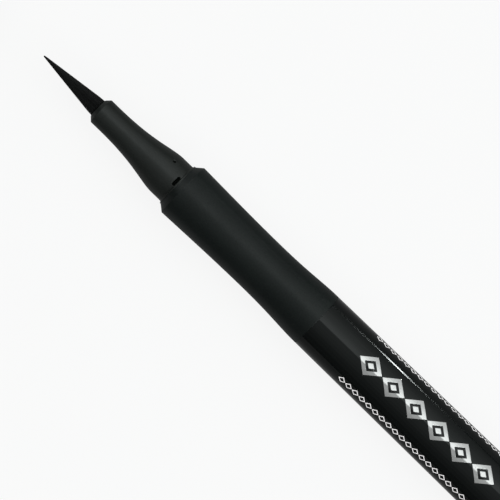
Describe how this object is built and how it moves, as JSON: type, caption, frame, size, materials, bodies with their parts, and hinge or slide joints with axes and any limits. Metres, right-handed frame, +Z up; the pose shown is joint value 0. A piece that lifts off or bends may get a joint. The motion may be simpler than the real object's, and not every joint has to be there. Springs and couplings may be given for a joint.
{
  "type": "liquid eyeliner pen",
  "caption": "Slim black liquid eyeliner pen with a fine brush point, flared nib holder, waisted matt grip, gloss barrel and a pull-off cap with a sprung inner cap.",
  "frame": {"origin": "centre of the part's footprint on the surface that the pen and its parked cap lie on", "axes": "+X along the pen's axis from the brush to the tail, +Z up, +Y to the left seen from the brush"},
  "size_m": [0.1806, 0.0104, 0.0105],
  "materials": {
    "brush_fibre": "fine ink-soaked filaments",
    "holder_plastic": "satin moulded plastic",
    "grip_plastic": "fine matt texture",
    "barrel_gloss": "high gloss lacquer",
    "cap_gloss": "high gloss lacquer",
    "inner_plastic": "natural moulded plastic",
    "inner_cap_plastic": "natural moulded plastic",
    "wick_fibre": "ink-soaked fibre",
    "seal_rubber": "smooth elastomer",
    "ball_steel": "polished steel",
    "spring_steel": "drawn spring wire"
  },
  "bodies": {
    "pen": {"brush_tuft": "brush_fibre", "tuft_ferrule": "inner_plastic", "nib_holder": "holder_plastic", "nib_retainer": "inner_plastic", "feed_wick": "wick_fibre", "collector": "inner_plastic", "collector_seal": "seal_rubber", "grip_section": "grip_plastic", "barrel_seal": "seal_rubber", "barrel": "barrel_gloss", "tail_plug": "barrel_gloss", "tail_seal": "seal_rubber"},
    "balls": {"mixing_balls": "ball_steel"},
    "cap": {"cap_shell": "cap_gloss", "cap_crown": "cap_gloss", "inner_cap_spring": "spring_steel"},
    "inner_cap": {"inner_cap": "inner_cap_plastic", "inner_cap_gasket": "seal_rubber"}
  },
  "joints": [
    {"name": "cap_slide", "type": "slide", "parent": "pen", "child": "cap", "axis": [1, 0, 0], "range_m": [0, 0.0421]},
    {"name": "inner_cap_slide", "type": "slide", "parent": "cap", "child": "inner_cap", "axis": [-1, 0, 0], "range_m": [0, 0.0012], "stiffness_N_per_m": 200, "springref_m": -0.003, "deforming": ["inner_cap_spring"]},
    {"name": "ball_slide", "type": "slide", "parent": "pen", "child": "balls", "axis": [1, 0, 0], "range_m": [0, 0.0422]}
  ]
}
